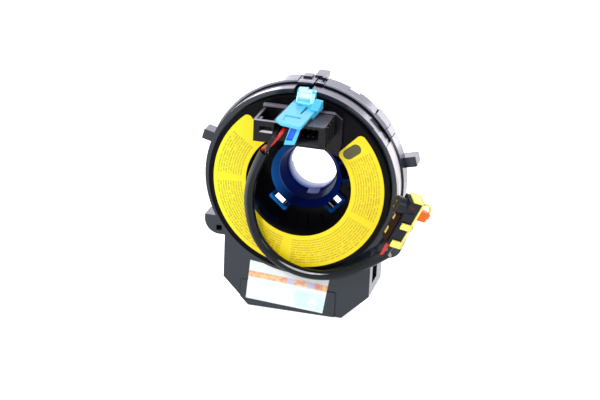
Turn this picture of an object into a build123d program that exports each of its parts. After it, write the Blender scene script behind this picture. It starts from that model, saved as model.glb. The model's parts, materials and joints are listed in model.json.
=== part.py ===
"""Steering clock spring: a ring case with a header box, a rotor with its lead, and a lock tab.

Frame: Y is the rotation axis and points back to the column, Z is up, X is to the right
seen from the driver. The origin is the centre of the shaft bore at its rear rim. Depths
are measured from there towards the driver, so depth d is the plane y = -d.
"""

import os
from math import cos, radians, sin, tan

from build123d import *

os.makedirs("parts", exist_ok=True)

# ---------------------------------------------------------------- driving dimensions, mm
# shaft bore and cancel sleeve
shaft_bore_radius = 12.5
shaft_bore_length = 7.0
sleeve_radius = 17.7
sleeve_wall = 1.3
sleeve_depth = 21.0
sleeve_lip = 0.7
funnel_radius = 14.9
funnel_depth = 17.3
latch_length = 5.6
latch_width = 11.0
latch_thickness = 1.5
latch_rim = 1.5
latch_angles = (-140, -12, 78, 131)
tool_hole_angles = (-140, -12, 131)

# ring case
case_back = 15.0
case_depth = 18.5
ring_radius = 49.5
band_step = 1.5
rear_band_depth = 8.7
groove_width = 2.3
case_wall = 1.8
cover_wall = 1.6
lip_width = 2.3
back_hole_radius = 25.0
fit = 0.3
running_gap = 0.8

# header box under the ring
box_half_width = 38.4
box_rise = 19.0
box_shoulder_drop = 7.5
box_drop = 21.3
box_floor_half = 24.7
box_back = 6.5
box_face_step = 0.2

# rotor
hub_radius = 27.0
hub_wall = 1.5
disc_proud = 3.3
disc_thickness = 1.6
rim_gap = 0.6
rim_width = 1.4
bead_height = 0.3

# labels
label_margin = 1.9
label_from = 44.5
label_to = 322.5
label_corner = 2.6
label_thickness = 0.2

# flat cable
ribbon_thickness = 0.3
ribbon_turns = 5
ribbon_side_gap = 0.7

# connector block on the rotor
block_left = -18.5
block_right = 17.3
block_low = 28.4
block_below_rim = 6.8
block_length = 21.0
block_wall = 1.5
block_foot = 2.0

# lock tab
lock_length = 29.5
lock_width = 13.4
lock_thickness = 1.5
lock_yaw = 6.0
lock_pitch = 6.0
lock_roll = 4.0
lock_clear = 1.1
lock_rise = 4.9

# headers in the box
main_width = 33.0
airbag_width = 15.0
header_height = 13.6
header_wall = 1.2
header_proud = 1.5
header_length = 13.0
pin_size = 0.7

# harness
sheath_diameter = 5.2
wire_diameter = 1.9

# squib plug, in its own axes: along its length, across it, and up its nose
plug_length = 26.0
plug_width = 9.0
plug_low = -3.2
plug_high = 3.0
nose_radius = 4.3
nose_height = 4.6
nose_place = 20.8
plug_gap = 0.2
shell_wall = 1.3
plug_tilt = 24.5

# ---------------------------------------------------------------- worked-out depths, radii
case_front = case_back + case_depth
case_floor = case_back + case_wall
band_radius = ring_radius + band_step
band_front = case_back + rear_band_depth
cover_back = band_front + groove_width
lip_radius = ring_radius - lip_width
spigot_radius = ring_radius - cover_wall - fit
spigot_front = case_front - cover_wall - fit
box_front = case_front - box_face_step
disc_front = case_front + disc_proud
disc_back = disc_front - disc_thickness
disc_radius = lip_radius - rim_gap
skirt_back = case_front - running_gap
rotor_floor = case_floor + running_gap
floor_front = rotor_floor + disc_thickness
tube_radius = hub_radius + hub_wall
box_top = box_rise - ring_radius
box_shoulder = -ring_radius - box_shoulder_drop
box_bottom = -ring_radius - box_drop
block_high = disc_radius - block_below_rim


def facing(depth):
    """Sketch plane at a depth, X to the right and Z up, extruding towards the driver."""
    return Plane.XZ.offset(depth)


def ring(outer, inner, back, front, mode=Mode.ADD):
    """Annulus about the axis between two depths, in the part being built."""
    with BuildSketch(facing(back)) as face:
        Circle(outer)
        Circle(inner, mode=Mode.SUBTRACT)
    extrude(face.sketch, amount=front - back, mode=mode)


def sector(outer, inner, start, end, back, front, mode=Mode.ADD):
    """Part of an annulus, its angles in degrees clockwise from the top."""
    with BuildSketch(facing(back)) as face:
        with BuildLine():
            far = CenterArc((0, 0), outer, 90 - end, end - start)
            near = CenterArc((0, 0), inner, 90 - end, end - start)
            Line(far @ 0, near @ 0)
            Line(far @ 1, near @ 1)
        make_face()
    extrude(face.sketch, amount=front - back, mode=mode)


def slab(x_from, x_to, z_from, z_to, back, front, mode=Mode.ADD, corner=0.0):
    """Block between two depths, its corners rounded if a radius is given."""
    with BuildSketch(facing(back)) as face:
        with Locations(((x_from + x_to) / 2, (z_from + z_to) / 2)):
            if corner > 0:
                RectangleRounded(x_to - x_from, z_to - z_from, corner)
            else:
                Rectangle(x_to - x_from, z_to - z_from)
    extrude(face.sketch, amount=front - back, mode=mode)


def radial_slab(clock, near, far, width, back, front, mode=Mode.ADD, corner=0.0):
    """Block along a radius at a clock angle, from one radius to another."""
    with BuildSketch(facing(back)) as face:
        with Locations(Location((0, 0), -clock)):
            with Locations((0, (near + far) / 2)):
                if corner > 0:
                    RectangleRounded(width, far - near, corner)
                else:
                    Rectangle(width, far - near)
    extrude(face.sketch, amount=front - back, mode=mode)


def box_slab(inset, clear_radius, back, front, mode=Mode.ADD):
    """Slab in the outline of the header box, open inside a wall or solid if inset is 0."""
    corners = (
        (-box_half_width, box_top),
        (-box_half_width, box_shoulder),
        (-box_floor_half, box_bottom),
        (box_floor_half, box_bottom),
        (box_half_width, box_shoulder),
        (box_half_width, box_top),
    )
    with BuildSketch(facing(back)) as face:
        Polygon(*corners, align=None)
        if inset > 0:
            with BuildSketch(mode=Mode.PRIVATE) as inside:
                Polygon(*corners, align=None)
                offset(amount=-inset, kind=Kind.INTERSECTION, mode=Mode.REPLACE)
            add(inside.sketch, mode=Mode.SUBTRACT)
        if clear_radius > 0:
            Circle(clear_radius, mode=Mode.SUBTRACT)
    extrude(face.sketch, amount=front - back, mode=mode)


def keep(name, label):
    """Label a finished piece and write it out."""
    name.part.label = label
    export_step(name.part, f"parts/{label}.step")


# ---------------------------------------------------------------- rear case
peg_angle = 76.0
peg_reach = band_radius + 6.3
peg_width = 5.3
peg_depth = 8.0
peg_back = case_back - 4.0
lug_half_height = 5.1
lug_centre_z = box_top - 2.7
lug_reach = band_radius + 1.1
lug_back = case_back - 1.5
pocket_size = 2.9
collar_radius = 30.0
collar_wall = 1.2
collar_length = 3.0
rib_count = 8
side_window_low = box_shoulder + 5.1
side_window_high = box_shoulder + 15.3
side_window_back = 17.2
side_window_front = 27.4
header_centre_z = box_bottom + 11.6
main_centre_x = -8.6
airbag_centre_x = 18.4

with BuildPart() as rear_case:
    ring(band_radius, back_hole_radius, case_back, case_floor)
    ring(band_radius, band_radius - case_wall, case_back, band_front)
    ring(spigot_radius, spigot_radius - cover_wall, case_floor, spigot_front)
    # header box: back wall, roof and side walls
    box_slab(0, 0, box_back, box_back + case_wall)
    box_slab(case_wall, 0, box_back, case_back)
    box_slab(case_wall, spigot_radius, case_back, band_front)
    # collar and ribs on the back
    ring(collar_radius + collar_wall, collar_radius, case_back - collar_length, case_back)
    for step in range(rib_count):
        clock = -101.25 + step * 202.5 / (rib_count - 1)
        radial_slab(
            clock, collar_radius, band_radius - case_wall, case_wall, case_back - case_wall, case_back
        )
    # sockets for the two headers, a side window, and the way in for the flat cable
    for centre, width in ((main_centre_x, main_width), (airbag_centre_x, airbag_width)):
        slab(
            centre - width / 2 - fit,
            centre + width / 2 + fit,
            header_centre_z - header_height / 2 - fit,
            header_centre_z + header_height / 2 + fit,
            box_back,
            box_back + case_wall,
            mode=Mode.SUBTRACT,
        )
    slab(
        box_half_width - case_wall,
        box_half_width,
        side_window_low,
        side_window_high,
        side_window_back,
        band_front,
        mode=Mode.SUBTRACT,
    )
    slab(-7.0, 7.0, -spigot_radius, -spigot_radius + 4.0, case_floor, spigot_front, mode=Mode.SUBTRACT)
    # locating pegs at the sides, a tongue at the top
    for side in (-1, 1):
        radial_slab(
            side * peg_angle, band_radius - case_wall, peg_reach, peg_width, peg_back, peg_back + peg_depth,
            corner=0.5,
        )
    slab(1.2, 6.8, band_radius - case_wall, band_radius + 0.7, case_back - 8.0, case_back + 4.0)
    # rounded lugs beside the box, each with a square pocket
    for side in (-1, 1):
        with BuildSketch(facing(lug_back)):
            with BuildLine():
                top = lug_centre_z + lug_half_height
                low = lug_centre_z - lug_half_height
                bend = 1.55 * lug_half_height
                Polyline(
                    (side * (lug_reach - bend), low),
                    (side * (box_half_width - case_wall), low),
                    (side * (box_half_width - case_wall), top),
                    (side * lug_reach, top),
                    (side * lug_reach, low + bend),
                )
                RadiusArc(
                    (side * lug_reach, low + bend), (side * (lug_reach - bend), low), side * bend
                )
            make_face()
            Circle(band_radius - case_wall, mode=Mode.SUBTRACT)
        extrude(amount=band_front - lug_back)
        pocket_x = side * (lug_reach - 7.8)
        slab(
            min(pocket_x - pocket_size / 2, pocket_x + pocket_size / 2),
            max(pocket_x - pocket_size / 2, pocket_x + pocket_size / 2),
            lug_centre_z - 3.0,
            lug_centre_z - 3.0 + pocket_size,
            band_front - 6.0,
            band_front,
            mode=Mode.SUBTRACT,
        )
    # the rear band stops each side of the top bracket and of the right-hand clip
    sector(band_radius + 1, band_radius - 1.0, -6.4, 9.2, case_floor, band_front + 1, mode=Mode.SUBTRACT)
    sector(band_radius + 1, band_radius - 1.0, 41.8, 58.6, case_floor, band_front + 1, mode=Mode.SUBTRACT)
    sector(band_radius + 1, band_radius - 1.0, 22.6, 28.7, case_back, case_back + 5.0, mode=Mode.SUBTRACT)
    # bracket over the cover's notch, and the small clip beside it
    sector(band_radius, band_radius - 1.2, -5.6, 3.4, case_floor, band_front + 3.6)
    sector(band_radius + 0.9, band_radius - 1.2, -4.5, 0.6, case_back, case_back + 5.0)
    sector(band_radius - 0.2, band_radius - 1.2, 4.2, 8.6, case_back + 4.5, band_front + 0.6)
    # right-hand snap clip
    sector(band_radius + 1.0, band_radius - 1.2, 42.6, 52.4, case_back + 1.0, band_front + 0.5)
    sector(band_radius + 0.4, band_radius - 1.2, 53.0, 57.9, case_back, band_front + 0.2)

keep(rear_case, "rear_case")

# ---------------------------------------------------------------- front cover
with BuildPart() as front_cover:
    ring(ring_radius, ring_radius - cover_wall, cover_back, case_front)
    ring(ring_radius, lip_radius, case_front - cover_wall, case_front)
    box_slab(0, ring_radius - cover_wall / 2, box_front - cover_wall, box_front)
    box_slab(case_wall, band_radius + fit, band_front, cover_back)
    box_slab(case_wall, ring_radius - cover_wall / 2, cover_back, box_front)
    # notch for the lock tab's nose, step and slot of the right-hand clip, side window
    sector(ring_radius + 1, lip_radius - 1, -6.0, 4.0, cover_back, case_front, mode=Mode.SUBTRACT)
    sector(ring_radius, ring_radius - cover_wall, 47.0, 53.4, case_front, case_front + 0.5)
    sector(
        ring_radius + 1, ring_radius - cover_wall, 48.0, 53.0, cover_back, cover_back + 1.6,
        mode=Mode.SUBTRACT,
    )
    slab(
        box_half_width - case_wall,
        box_half_width,
        side_window_low,
        side_window_high,
        band_front,
        side_window_front,
        mode=Mode.SUBTRACT,
    )

keep(front_cover, "front_cover")

# ---------------------------------------------------------------- plate and labels on the case
plate_left = -29.0
plate_right = 21.0
plate_proud = 0.6
box_label_corners = (
    (-24.3, box_shoulder + 11.2),
    (-25.9, box_bottom + 3.9),
    (14.9, box_bottom + 1.4),
    (17.5, box_shoulder + 6.2),
)
side_label_from = 60.0
side_label_to = 112.0
side_label_edge = 1.0

with BuildPart() as box_cover:
    with BuildSketch(facing(box_front)):
        slope = box_half_width - box_floor_half
        drop = box_shoulder - box_bottom
        foot = box_bottom + drop * (-plate_left - box_floor_half) / slope
        Polygon(
            (plate_left, box_shoulder),
            (plate_left, foot),
            (-box_floor_half, box_bottom),
            (plate_right, box_bottom),
            (plate_right, box_shoulder),
            align=None,
        )
    extrude(amount=plate_proud)
    chamfer(box_cover.edges().filter_by(Axis.X).group_by(Axis.Z)[-1].sort_by(Axis.Y)[0], 0.3)
    slab(14.0, plate_right, box_bottom, box_bottom + 2.0, box_front, box_front + plate_proud / 2,
         mode=Mode.SUBTRACT)

keep(box_cover, "box_cover")

with BuildPart() as box_label:
    for back, z_from, z_to in (
        (box_front, box_shoulder, box_top),
        (box_front + plate_proud, box_bottom, box_shoulder),
    ):
        with BuildSketch(facing(back)):
            Polygon(*box_label_corners, align=None)
            with Locations((0, (z_from + z_to) / 2)):
                Rectangle(4 * box_half_width, z_to - z_from, mode=Mode.INTERSECT)
            Circle(ring_radius + fit, mode=Mode.SUBTRACT)
        extrude(amount=label_thickness)
    with BuildSketch(facing(box_front)):
        Polygon(*box_label_corners, align=None)
        with Locations((0, box_shoulder + label_thickness / 2)):
            Rectangle(4 * box_half_width, label_thickness, mode=Mode.INTERSECT)
    extrude(amount=plate_proud + label_thickness)

keep(box_label, "box_label")

with BuildPart() as side_label:
    sector(
        ring_radius + label_thickness,
        ring_radius,
        side_label_from,
        side_label_to,
        cover_back + side_label_edge,
        case_front - side_label_edge,
    )

keep(side_label, "side_label")

# ---------------------------------------------------------------- headers and their pins
pin_pitch = 4.0
row_pitch = 5.0
pin_clear = 1.6
pin_tail = 2.0


def header(centre, width, key_width):
    """Shroud open to the back, with a floor, a keyway and a pair of stop ribs."""
    back = box_back - header_proud
    front = back + header_length
    low = header_centre_z - header_height / 2
    high = header_centre_z + header_height / 2
    slab(centre - width / 2, centre + width / 2, low, high, back, front, corner=1.0)
    slab(
        centre - width / 2 + header_wall,
        centre + width / 2 - header_wall,
        low + header_wall,
        high - header_wall,
        back,
        front - header_wall,
        mode=Mode.SUBTRACT,
        corner=0.6,
    )
    slab(centre - key_width / 2, centre + key_width / 2, high - 2 * header_wall, high, back,
         back + header_length / 2, mode=Mode.SUBTRACT)


def pins(centre, count):
    """Two rows of square pins through a header's floor."""
    back = box_back - header_proud + pin_clear
    with BuildSketch(facing(back)) as face:
        with Locations((centre, header_centre_z)):
            with GridLocations(pin_pitch, row_pitch, count, 2):
                Rectangle(pin_size, pin_size)
    extrude(face.sketch, amount=header_length - pin_clear + pin_tail)


with BuildPart() as main_terminals:
    pins(main_centre_x, 7)
keep(main_terminals, "main_terminals")

with BuildPart() as main_header:
    header(main_centre_x, main_width, 5.0)
    add(main_terminals.part, mode=Mode.SUBTRACT)
keep(main_header, "main_header")

with BuildPart() as airbag_terminals:
    pins(airbag_centre_x, 2)
keep(airbag_terminals, "airbag_terminals")

with BuildPart() as airbag_header:
    header(airbag_centre_x, airbag_width, 3.0)
    add(airbag_terminals.part, mode=Mode.SUBTRACT)
keep(airbag_header, "airbag_header")

# ---------------------------------------------------------------- flat cable and its two carriers
ribbon_inner = tube_radius + 2.6
ribbon_outer = disc_radius - rim_width - 0.4
ribbon_back = case_floor + ribbon_side_gap
ribbon_front = disc_back - ribbon_side_gap
carrier_width = 13.4
carrier_front = spigot_front - 0.6

with BuildPart() as flat_cable:
    with BuildSketch(facing(ribbon_back)):
        halves = 2 * ribbon_turns
        grow = (ribbon_outer - ribbon_thickness - ribbon_inner) / halves
        with BuildLine():
            for edge_radius in (ribbon_inner, ribbon_inner + ribbon_thickness):
                for half in range(halves):
                    side = -1 if half % 2 else 1
                    start = -side * (edge_radius + grow * half)
                    stop = side * (edge_radius + grow * (half + 1))
                    ThreePointArc(
                        (0, start), (side * abs(start - stop) / 2, (start + stop) / 2), (0, stop)
                    )
            Line((0, -ribbon_inner), (0, -ribbon_inner - ribbon_thickness))
            Line((0, -ribbon_outer), (0, -ribbon_outer + ribbon_thickness))
        make_face()
    extrude(amount=ribbon_front - ribbon_back)

keep(flat_cable, "flat_cable")

with BuildPart() as inner_carrier:
    ring(ribbon_inner - fit, tube_radius, floor_front, disc_back)
    slab(-carrier_width / 2, carrier_width / 2, -tube_radius - 4.0, -tube_radius + 4.0,
         floor_front, disc_back, mode=Mode.INTERSECT)

keep(inner_carrier, "inner_carrier")

with BuildPart() as outer_carrier:
    ring(spigot_radius, ribbon_outer + fit, case_floor, carrier_front)
    slab(-carrier_width / 2, carrier_width / 2, -spigot_radius - 1, -spigot_radius + 4.0,
         case_floor, carrier_front, mode=Mode.INTERSECT)

keep(outer_carrier, "outer_carrier")

# ---------------------------------------------------------------- rotor disc
latch_reach = sleeve_radius + latch_length
floor_hole = sleeve_radius + 0.2

with BuildPart() as rotor_disc:
    ring(tube_radius, hub_radius, rotor_floor, disc_front)
    ring(disc_radius, hub_radius, disc_back, disc_front)
    ring(disc_radius, disc_radius - rim_width, skirt_back, disc_front)
    ring(disc_radius, disc_radius - rim_width / 2, disc_front, disc_front + bead_height)
    ring(tube_radius, floor_hole, rotor_floor, floor_front)
    for clock in latch_angles:
        radial_slab(
            clock, floor_hole - 2, latch_reach - latch_rim / 2, latch_width - 3 * latch_rim,
            rotor_floor, floor_front, mode=Mode.SUBTRACT,
        )
    for clock in (-95, 105, 160, 178, -168):
        radial_slab(clock, hub_radius - 4.5, hub_radius + hub_wall / 2, 1.0, floor_front, floor_front + 1.6)

keep(rotor_disc, "rotor_disc")

with BuildPart() as face_label:
    with BuildSketch(facing(disc_front)):
        with BuildLine():
            label_span = label_to - label_from
            label_outer = disc_radius - rim_width / 2 - label_margin
            far = CenterArc((0, 0), label_outer, 90 - label_to, label_span)
            near = CenterArc((0, 0), hub_radius + label_thickness, 90 - label_to, label_span)
            Line(far @ 0, near @ 0)
            Line(far @ 1, near @ 1)
        make_face()
        fillet(vertices(), label_corner)
    extrude(amount=label_thickness)

keep(face_label, "face_label")

# ---------------------------------------------------------------- cancel sleeve
flange_back = case_back - running_gap - case_wall
latch_root = sleeve_radius + 0.6
flange_front = case_back - running_gap

with BuildPart() as cancel_sleeve:
    with BuildSketch(Plane.YZ):
        Polygon(
            (0, shaft_bore_radius),
            (-shaft_bore_length, shaft_bore_radius),
            (-shaft_bore_length - 0.8, shaft_bore_radius + 0.6),
            (-funnel_depth, funnel_radius),
            (-funnel_depth - 0.3, funnel_radius + 0.4),
            (-sleeve_depth + 0.4, sleeve_radius - 0.2),
            (-sleeve_depth, sleeve_radius + 0.2),
            (-sleeve_depth, sleeve_radius + sleeve_lip),
            (-floor_front - 0.2, sleeve_radius + sleeve_lip),
            (-floor_front - 0.2, sleeve_radius),
            (-flange_front, sleeve_radius),
            (-flange_front, collar_radius - 1.0),
            (-flange_back, collar_radius - 1.0),
            (-flange_back, shaft_bore_radius + 3 * sleeve_wall),
            (-shaft_bore_length, shaft_bore_radius + sleeve_wall),
            (0, shaft_bore_radius + sleeve_wall),
            align=None,
        )
    revolve(axis=Axis.Y)
    for clock in latch_angles:
        # loop that snaps over the rotor's floor, and the tool opening behind it
        radial_slab(
            clock, sleeve_radius - 0.2, latch_reach, latch_width, sleeve_depth - latch_thickness,
            sleeve_depth, corner=0.7,
        )
        radial_slab(
            clock, latch_root, latch_reach - latch_rim, latch_width - 2 * latch_rim,
            sleeve_depth - latch_thickness, sleeve_depth, mode=Mode.SUBTRACT,
        )
    for clock in tool_hole_angles:
        radial_slab(
            clock, latch_root, collar_radius - 2.6, latch_width / 2,
            flange_back, flange_front, mode=Mode.SUBTRACT,
        )
    for clock in (90, 270):
        radial_slab(
            clock, shaft_bore_radius - 1, shaft_bore_radius + 2 * sleeve_wall, 4.0, 0, 2.5,
            mode=Mode.SUBTRACT,
        )

keep(cancel_sleeve, "cancel_sleeve")

# ---------------------------------------------------------------- connector block
block_front = disc_front + block_length
cavity_left = block_left + block_wall
cavity_right = -8.8
cavity_floor = block_low + 1.6
socket_left = 3.6
socket_right = block_right - 3.0
socket_low = block_low + block_wall
socket_high = block_high - block_wall
socket_length = 15.0
foot_low = 21.2
foot_high = block_high + 1.2
window_low = block_low + 5.0
window_high = block_high - 3.2
pocket_high = block_high - 1.2
wire_gap_left = -7.8
wire_gap_right = -0.6
wire_gap_length = 5.0
wall_rib_first = 4.0
wall_rib_pitch = 5.0
wall_rib_width = 0.9
wall_rib_height = 0.7
socket_pin_pitch = 2.6
socket_row_pitch = (socket_high - socket_low) * 3 / 7

with BuildPart() as connector_block:
    slab(block_left, block_right, block_low, block_high, disc_front, block_front)
    with BuildSketch(facing(disc_front)):
        Polygon(
            (-17.0, block_low + 4),
            (-12.0, foot_low + 4.0),
            (-3.0, foot_low),
            (14.0, foot_low),
            (19.5, foot_low - 2.6),
            (21.5, foot_low + 4.0),
            (21.5, block_high - 2.0),
            (17.0, foot_high),
            (-12.0, foot_high),
            (-17.0, block_high + 1.0),
            align=None,
        )
    extrude(amount=block_foot)
    # open pocket on the left with a window in its front wall
    slab(cavity_left, cavity_right, cavity_floor, block_high, disc_front + block_foot, block_front - block_wall,
         mode=Mode.SUBTRACT)
    slab(block_left + 3.0, cavity_right, window_low, window_high, block_front - block_wall, block_front,
         mode=Mode.SUBTRACT)
    # socket on the right, open to the driver
    slab(socket_left, socket_right, socket_low, socket_high, block_front - socket_length, block_front,
         mode=Mode.SUBTRACT)
    # way out for the wires, and ribs on the right-hand wall
    slab(wire_gap_left, wire_gap_right, block_low, pocket_high, block_front - wire_gap_length, block_front,
         mode=Mode.SUBTRACT)
    for number in range(3):
        depth = block_front - wall_rib_first - number * wall_rib_pitch
        slab(block_right, block_right + wall_rib_height, block_low, block_high - 1.0, depth - wall_rib_width, depth)
    chamfer(connector_block.faces().sort_by(Axis.Y)[0].outer_wire().edges(), 0.35)

keep(connector_block, "connector_block")

with BuildPart() as block_terminals:
    with BuildSketch(facing(block_front - socket_length)) as face:
        with Locations(((socket_left + socket_right) / 2, (socket_low + socket_high) / 2)):
            with GridLocations(socket_pin_pitch, socket_row_pitch, 4, 2):
                Rectangle(pin_size, pin_size)
    extrude(face.sketch, amount=socket_length - 6.0)

keep(block_terminals, "block_terminals")

# ---------------------------------------------------------------- lock tab
forward = Vector(
    -sin(radians(lock_yaw)) * cos(radians(lock_pitch)),
    -cos(radians(lock_yaw)) * cos(radians(lock_pitch)),
    -sin(radians(lock_pitch)),
)
level_right = Vector(0, 0, 1).cross(forward).normalized()
level_up = forward.cross(level_right)
lock_up = level_up * cos(radians(lock_roll)) + level_right * sin(radians(lock_roll))
lock_top = Plane(
    origin=(3.4, -case_front - lock_clear, block_high + lock_rise), x_dir=forward, z_dir=lock_up
)

plate_start = 3.0
nose_back = case_front + lock_clear
nose_floor = disc_radius + 0.4
nose_left = -2.3
nose_right = 6.9
nose_thickness = 1.5
cap_low = nose_floor + 2.0
cap_overhang = 1.0
ramp_end = nose_back + 5.3
ramp_foot = block_high + 3.5
cheek_sink = 0.7
ear_height = 1.1
tongue_back = block_front + 0.5
tongue_front = tongue_back + 2.0

with BuildPart() as lock_tab:
    half = lock_width / 2
    # flexible plate, tilted and turned a little on the block
    with BuildSketch(lock_top) as plate:
        Polygon(
            (plate_start, -half),
            (plate_start, half + 1.6),
            (plate_start + 6.0, half + 1.2),
            (plate_start + 6.6, half),
            (lock_length - 1.0, half),
            (lock_length, half - 1.2),
            (lock_length, -half + 3.4),
            (lock_length - 2.6, -half - 0.4),
            align=None,
        )
    extrude(plate.sketch, amount=-lock_thickness)
    # raised ear at the plate's right-hand rear corner
    with BuildSketch(lock_top) as ear:
        Polygon(
            (plate_start, half - 3.2),
            (plate_start, half + 1.6),
            (plate_start + 6.0, half + 1.2),
            (plate_start + 6.0, half - 2.2),
            align=None,
        )
        fillet(ear.vertices(), 0.4)
    extrude(ear.sketch, amount=ear_height)
    # nose that stands up behind the plate, with a stepped cap over the ramp
    with BuildSketch(facing(nose_back)) as nose:
        Polygon(
            (nose_left, ramp_foot),
            (nose_left, cap_low + 1.2),
            (nose_left + 0.5, nose_floor + 4.0),
            (2.8, nose_floor + 4.3),
            (2.8, nose_floor + 3.4),
            (nose_right - 0.4, nose_floor + 3.2),
            (nose_right, nose_floor + 2.6),
            (nose_right, ramp_foot),
            align=None,
        )
        Circle(nose_floor, mode=Mode.SUBTRACT)
    extrude(nose.sketch, amount=nose_thickness)
    with BuildSketch(facing(nose_back + nose_thickness)) as cap:
        add(nose.sketch.moved(Location((0, -nose_thickness, 0))))
        with Locations((0, cap_low + 5.0)):
            Rectangle(4 * half, 10.0, mode=Mode.INTERSECT)
    extrude(cap.sketch, amount=cap_overhang)
    # ramp between cheeks, from the cap down to the plate
    for left, right, sink in (
        (nose_left, nose_left + 0.8, 0.0),
        (nose_left + 0.8, nose_right - 2.0, cheek_sink),
        (nose_right - 2.0, nose_right, 0.0),
    ):
        with BuildSketch(Plane.YZ.offset(left)) as ramp:
            Polygon(
                (-nose_back - 0.6, nose_floor + 0.3),
                (-nose_back - 0.6, cap_low + 0.4),
                (-nose_back - nose_thickness - 0.9, cap_low - sink + 0.2),
                (-ramp_end, ramp_foot + 1.4 - sink),
                (-ramp_end, ramp_foot),
                (-ramp_end + 1.9, ramp_foot),
                (-nose_back - 3.0, nose_floor + 0.3),
                align=None,
            )
        extrude(ramp.sketch, amount=right - left)
    # marker hole, slit and sunk finger pad in the top
    with BuildSketch(lock_top) as marks:
        with Locations((7.4, -2.1)):
            Rectangle(1.4, 1.8)
        Polygon((7.4, 1.2), (7.4, 2.6), (16.4, 1.9), (16.4, 1.2), align=None)
    extrude(marks.sketch, amount=-lock_thickness, mode=Mode.SUBTRACT)
    with BuildSketch(lock_top) as pad:
        Polygon((20.4, -4.6), (19.7, 3.2), (25.9, 3.9), (26.7, -3.9), align=None)
    extrude(pad.sketch, amount=-0.5, mode=Mode.SUBTRACT)
    # side rail under the right-hand edge
    with BuildSketch(lock_top.offset(-lock_thickness)) as rail:
        Polygon((7.0, half - 0.9), (7.0, half + 0.7), (14.0, half + 0.5), (14.0, half - 1.1), align=None)
    extrude(rail.sketch, amount=-1.2)
    # tongue down the block's front, with a sunk channel
    with BuildSketch(facing(tongue_back)) as tongue:
        Polygon(
            (-2.2, block_low + 1.2),
            (3.2, block_low + 1.8),
            (6.8, block_high + 1.6),
            (1.4, block_high + 1.6),
            align=None,
        )
    extrude(tongue.sketch, amount=tongue_front - tongue_back)
    with BuildSketch(facing(tongue_front)) as channel:
        Polygon(
            (-1.2, block_low + 3.6),
            (1.9, block_low + 3.6),
            (4.5, block_high - 0.9),
            (1.2, block_high - 0.9),
            align=None,
        )
    extrude(channel.sketch, amount=-1.2, mode=Mode.SUBTRACT)

keep(lock_tab, "lock_tab")

# ---------------------------------------------------------------- squib plug, in its own axes
along = Vector(cos(radians(90 - plug_tilt)), 0, sin(radians(90 - plug_tilt)))
nose_way = Vector(-0.788, -0.5, 0.359)
plug_origin = Vector(49.3, -42.0, -20.55)
plug = Plane(origin=plug_origin, x_dir=along, z_dir=nose_way)
plug_half = plug_width / 2
lid_end = 17.0
block_start = 13.5


def plug_slab(l_from, l_to, y_from, y_to, n_from, n_to, mode=Mode.ADD, corner=0.0):
    """Block in the plug's axes, its corners rounded if a radius is given."""
    with BuildSketch(plug.offset(n_from)) as face:
        with Locations(((l_from + l_to) / 2, (y_from + y_to) / 2)):
            if corner > 0:
                RectangleRounded(l_to - l_from, y_to - y_from, corner)
            else:
                Rectangle(l_to - l_from, y_to - y_from)
    extrude(face.sketch, amount=n_to - n_from, mode=mode)


with BuildPart() as plug_body:
    plug_slab(0, plug_length, -plug_half, plug_half, plug_low, plug_high, corner=0.6)
    with BuildSketch(plug.offset(plug_high)) as nose:
        with Locations((nose_place, 0)):
            Circle(nose_radius)
    extrude(nose.sketch, amount=nose_height)
    # recess for the lid
    plug_slab(-1, lid_end, -plug_half + 1.0, plug_half - 1.0, plug_high - 1.0, plug_high + 1,
              mode=Mode.SUBTRACT)
    # slots in the near face
    plug_slab(block_start, block_start + 1.2, -plug_half, -plug_half + 0.6, plug_low + 1.0, plug_high,
              mode=Mode.SUBTRACT)
    plug_slab(19.5, 20.9, -plug_half, -plug_half + 0.5, -1.2, plug_high - 0.4, mode=Mode.SUBTRACT)

keep(plug_body, "plug_body")

with BuildPart() as plug_lid:
    plug_slab(
        0.3, lid_end - plug_gap, -plug_half + 1.0 + plug_gap, plug_half - 1.0 - plug_gap,
        plug_high - 1.0, plug_high + 0.9, corner=0.4,
    )
    for place in (4.6, 13.4):
        plug_slab(place - 1.6, place + 1.6, 1.4, 2.6, plug_high + 0.3, plug_high + 0.9, mode=Mode.SUBTRACT)

keep(plug_lid, "plug_lid")

with BuildPart() as plug_contacts:
    with BuildSketch(plug.offset(plug_high + nose_height)) as face:
        with Locations((nose_place - 1.6, 0), (nose_place + 1.6, 0)):
            Circle(0.6)
    extrude(face.sketch, amount=0.4)

keep(plug_contacts, "plug_contacts")

with BuildPart() as plug_lock:
    shell_high = plug_low - plug_gap
    shell_low = shell_high - shell_wall
    arm_side = -plug_half - plug_gap
    plug_slab(-1.0, plug_length + 1.2, -plug_half, plug_half, shell_low, shell_high, corner=0.8)
    for start, stop in ((0.0, 3.7), (10.8, 14.2)):
        plug_slab(start, stop, arm_side - shell_wall, arm_side, shell_low, plug_low + 5.0)
        plug_slab(start, stop, arm_side - shell_wall, -plug_half + 1.0, shell_low, shell_high)
    # hook round the tab
    plug_slab(plug_length - 1.4, plug_length - 0.2, -0.6, 2.2, shell_low - 5.6, shell_low)
    plug_slab(plug_length - 4.6, plug_length - 0.2, -0.6, 2.2, shell_low - 6.8, shell_low - 5.6)

keep(plug_lock, "plug_lock")

with BuildPart() as plug_tab:
    plug_slab(16.8, plug_length - 4.0, -1.4, 1.4, shell_low - 5.6, shell_low, corner=0.8)
    plug_slab(plug_length - 4.8, plug_length - 1.4, -0.6, 2.2, shell_low - 5.6, shell_low - 2.4)

keep(plug_tab, "plug_tab")

# ---------------------------------------------------------------- harness
wire_offset = 1.2
wire_lead = 4.0
sheath_start = Vector(-13.6, -52.5, 21.9)
sheath_end = Vector(48.6, -40.5, -27.7)
wire_side = Vector(-0.888, 0, 0.458) * wire_offset
red_entry = plug_origin + nose_way * 1.2 - plug.y_dir * 1.9
black_entry = plug_origin - nose_way * 0.9 - plug.y_dir * 3.2


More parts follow.
